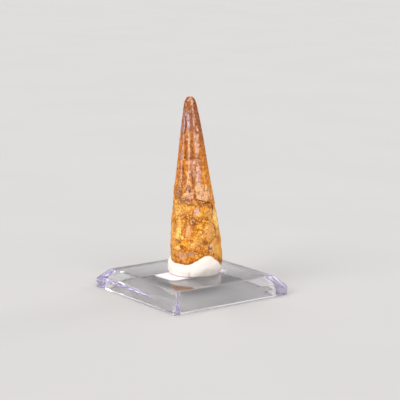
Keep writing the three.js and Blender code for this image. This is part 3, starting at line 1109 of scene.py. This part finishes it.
def plus(tree, first, second, share):
    """The first value plus a share of the second."""
    return calc(tree, "ADD", first, calc(tree, "MULTIPLY", second, share))


waxy, tree, shader = new_material("white_putty")
place = object_place(tree)
smear = grains(tree, place, 3)
fine = grains(tree, place, 0.35)
white = lay(tree, seen(235, 227, 221), seen(244, 238, 233), between(tree, smear, 0.35, 0.65))
coat = {
    "Base Color": white,
    "Roughness": between(tree, smear, 0.3, 0.7, 0.42, 0.6),
    "Subsurface Weight": 0.2,
    "Subsurface Radius": (1.0, 0.8, 0.6),
    "Subsurface Scale": MM,
}
fill(tree, shader, coat)
emboss(tree, shader, plus(tree, smear, fine, 0.25), 0.35, 0.15)
dress(putty, waxy)
print("putty dressed")

# %% Tape: white paper
fibrous, tree, shader = new_material("white_tape")
fibres = grains(tree, object_place(tree, (0.15, 1, 1)), 0.3, detail=4)
white = lay(tree, seen(226, 217, 226), seen(240, 234, 240), between(tree, fibres, 0.3, 0.7))
dull = between(tree, fibres, 0.3, 0.7, 0.5, 0.7)
fill(tree, shader, {"Base Color": white, "Roughness": dull})
emboss(tree, shader, fibres, 0.3, 0.05)
dress(strip, fibrous)
print("tape dressed")

# %% [markdown]
# ### The fossil
#
# Enamel and root have different ground colours. The crown is streaked lengthways, with painted shade
# in amber-brown in the grooves and a painted peach highlight on the ridges, and grows rosy towards the
# tip. The root is a fine mottle of orange, gold and cream. Over both lie the painted masks, then the
# dark lines of cracks and pits, and last a fine speckle of dark and light.

# %% Fossil: noises and masks
def blend_values(tree, first, second, mask):
    return wire(tree, "ShaderNodeMix", {0: mask, 2: first, 3: second}).outputs[0]


def attribute(tree, title):
    return wire(tree, "ShaderNodeAttribute", {}, attribute_name=title).outputs["Fac"]


DOT_SPACING = 0.95
FINEST_GRAIN = 0.2

fossil, tree, shader = new_material("fossil_tooth")
place = object_place(tree)
drawn_out = object_place(tree, (1, 1, 0.14))
streaks = grains(tree, drawn_out, 0.45, detail=4)
broad_streaks = grains(tree, drawn_out, 1.6, detail=4)
mottle = grains(tree, place, 1.3, detail=5, roughness=0.62)
specks = grains(tree, place, 0.5, detail=3)
crumbs = grains(tree, place, 0.28, detail=2)
fine = grains(tree, place, FINEST_GRAIN, detail=2)
strokes = object_place(tree, (1, 1, 0.5))
dashes = grains(tree, strokes, 0.32, detail=4, roughness=0.7)
spacing = {"Vector": strokes, "Scale": 1 / (DOT_SPACING * MM)}
dots = wire(tree, "ShaderNodeTexVoronoi", spacing).outputs[0]
enamel = between(tree, attribute(tree, "enamel"), 0.35, 0.65)
root_rags = plus(tree, mottle, specks, 0.8)
crown_rags = plus(tree, broad_streaks, streaks, 0.8)
ragged = calc(tree, "SUBTRACT", blend_values(tree, root_rags, crown_rags, enamel), 0.9)


def spread(value, start, end, cover, inside):
    """Grows up to the cover as the value goes from start to end, and only inside a mask."""
    return calc(tree, "MULTIPLY", between(tree, value, start, end, 0, cover), inside)


def torn(title, share, start, end, cover):
    """A stored mask with its edge torn by the noise."""
    mask = attribute(tree, title)
    value = plus(tree, mask, ragged, share)
    return spread(value, start, end, cover, between(tree, mask, 0.02, 0.22))


print("fossil noises from", FINEST_GRAIN, "mm")


# %% Fossil: ground colours
def build_up(ground, layers):
    """Lays one colour after another over the ground, each by its own mask."""
    for paint, mask in layers:
        ground = lay(tree, ground, paint, mask)
    return ground


rise = attribute(tree, "rise")
plate = attribute(tree, "plate")
# Vivid orange low down, brown towards the tip: amber colour, and painted rim glow at the best face's
# edges.
amber_and_rim_glow = lay(tree, seen(222, 134, 10), seen(150, 78, 16), between(tree, rise, 0.55, 0.87))
crown_layers = [
    (seen(226, 150, 74), between(tree, broad_streaks, 0.4, 0.6)),
    (seen(188, 116, 88), torn("rose", 1.2, 0.1, 0.8, 0.75)),
    # Painted highlight along the flute ridges.
    (seen(246, 192, 156), torn("ridge", 1.4, 0.2, 0.95, 0.55)),
    # Painted shade in the flute grooves.
    (seen(140, 74, 28), torn("groove_shade", 1.4, 0.35, 1.1, 0.5)),
    (seen(140, 80, 60), between(tree, rise, 0.7, 0.95, 0, 0.8)),
    # Amber bands, with a painted rim glow at the best face's edges.
    (amber_and_rim_glow, torn("amber_and_rim_glow", 1.2, 0.05, 0.7, 0.92)),
    (seen(130, 70, 30), between(tree, streaks, 0.55, 0.67, 0, 0.5)),
]
root_layers = [
    (seen(228, 150, 46), between(tree, mottle, 0.42, 0.56)),
    (seen(240, 178, 96), between(tree, plate, 0.55, 0.8, 0, 0.5)),
    (seen(194, 104, 22), between(tree, plate, 0.3, 0.1, 0, 0.4)),
    (seen(164, 84, 16), between(tree, attribute(tree, "swell"), 0.4, 0.1, 0, 0.5)),
    (seen(130, 64, 12), between(tree, ragged, -0.08, -0.2, 0, 0.6)),
]
crown = build_up(seen(182, 102, 30), crown_layers)
root_colour = build_up(seen(192, 106, 20), root_layers)
colour = lay(tree, root_colour, crown, enamel)
print(len(crown_layers), "layers on the crown and", len(root_layers), "on the root")

# %% Fossil: patches
PATCH_COLOURS = {
    "peach": (seen(230, 164, 96), 0.75),
    "shell": (seen(248, 198, 156), 0.82),
    "cream": (seen(255, 218, 126), 0.85),
    "gold": (seen(248, 184, 48), 0.8),
    # Pink mineral and the painted highlight on the crown's middle ridge.
    "pink_and_highlight": (seen(244, 194, 174), 0.8),
    "brown": (seen(138, 74, 34), 0.75),
    "mauve": (seen(142, 94, 80), 0.85),
    # Lavender-white, for the painted highlights and the lavender-grey marks.
    "lavender_and_highlight": (seen(212, 190, 206), 0.7),
    # Painted contact shadow just above the putty, dark ochre.
    "contact_shadow": (seen(140, 76, 6), 0.75),
}

patch_masks = {}
for title, (paint, cover) in PATCH_COLOURS.items():
    patch_masks[title] = torn(title, 1.7, 0.1, 0.95, cover)
    colour = lay(tree, colour, paint, patch_masks[title])
print(len(PATCH_COLOURS), "patch colours")

# %% Fossil: crumbs, cracks and specks
grainy = between(tree, enamel, 0, 1, 1, 0.15)
grainy = calc(tree, "MAXIMUM", grainy, patch_masks["mauve"])
grainy = calc(tree, "SUBTRACT", grainy, calc(tree, "MULTIPLY", patch_masks["peach"], 0.6))
few = blend_values(tree, between(tree, mottle, 0.5, 0.6), between(tree, mottle, 0.32, 0.5), enamel)
dark = torn("crack", 1.0, 0.2, 0.75, 0.8)
dotted = spread(dots, 0.24, 0.12, 0.75, few)
fine_layers = [
    # light and dark crumbs, cracks and pits, dots, dashes, fine grain, dark and light specks
    (seen(252, 208, 120), spread(crumbs, 0.5, 0.72, 0.7, grainy)),
    (seen(132, 66, 16), spread(crumbs, 0.47, 0.28, 0.7, grainy)),
    (seen(84, 42, 16), dark),
    (seen(100, 50, 18), dotted),
    (seen(112, 58, 26), spread(dashes, 0.45, 0.35, 0.8, enamel)),
    (seen(110, 58, 22), between(tree, fine, 0.42, 0.3, 0, 0.4)),
    (seen(124, 68, 36), spread(specks, 0.49, 0.35, 0.55, enamel)),
    (seen(252, 208, 166), spread(specks, 0.55, 0.69, 0.4, enamel)),
]
colour = build_up(colour, fine_layers)
print("fossil colour of", len(tree.nodes), "nodes")

# %% Fossil: finish and grain
TOOTH_SHINE = 0.16

root_rough = between(tree, specks, 0.3, 0.7, 0.62, 0.42)
crown_rough = between(tree, streaks, 0.3, 0.7, 0.28, 0.44)
rough = blend_values(tree, root_rough, crown_rough, enamel)
rough = plus(tree, rough, patch_masks["mauve"], 0.25)
rough = plus(tree, rough, dark, 0.4)
coat = {"Base Color": colour, "Roughness": rough, "Specular IOR Level": TOOTH_SHINE}
fill(tree, shader, coat)
lumpy = plus(tree, mottle, specks, 0.7)
relief = blend_values(tree, lumpy, calc(tree, "MULTIPLY", streaks, 0.8), enamel)
relief = plus(tree, relief, fine, 0.3)
relief = calc(tree, "SUBTRACT", relief, calc(tree, "MULTIPLY", dotted, 0.6))
emboss(tree, shader, relief, 0.8, 0.3)
dress(tooth, fossil)
print("fossil dressed")

# %% [markdown]
# ## Join the pieces to the frame
#
# Every piece rides on the one rigid body and stands for the solid it was modelled from.

# %% Ride and replace
PIECES = {
    "display_base": (base, "clear_plastic"),
    "tape_strip": (strip, "white_tape"),
    "putty": (putty, "white_putty"),
    "tooth": (tooth, "fossil_tooth"),
}
for node_name, (piece, finish) in PIECES.items():
    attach(piece, "root")
    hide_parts(node_name)
    piece.data.calc_loop_triangles()
    print(piece.name, len(piece.data.loop_triangles), "triangles")
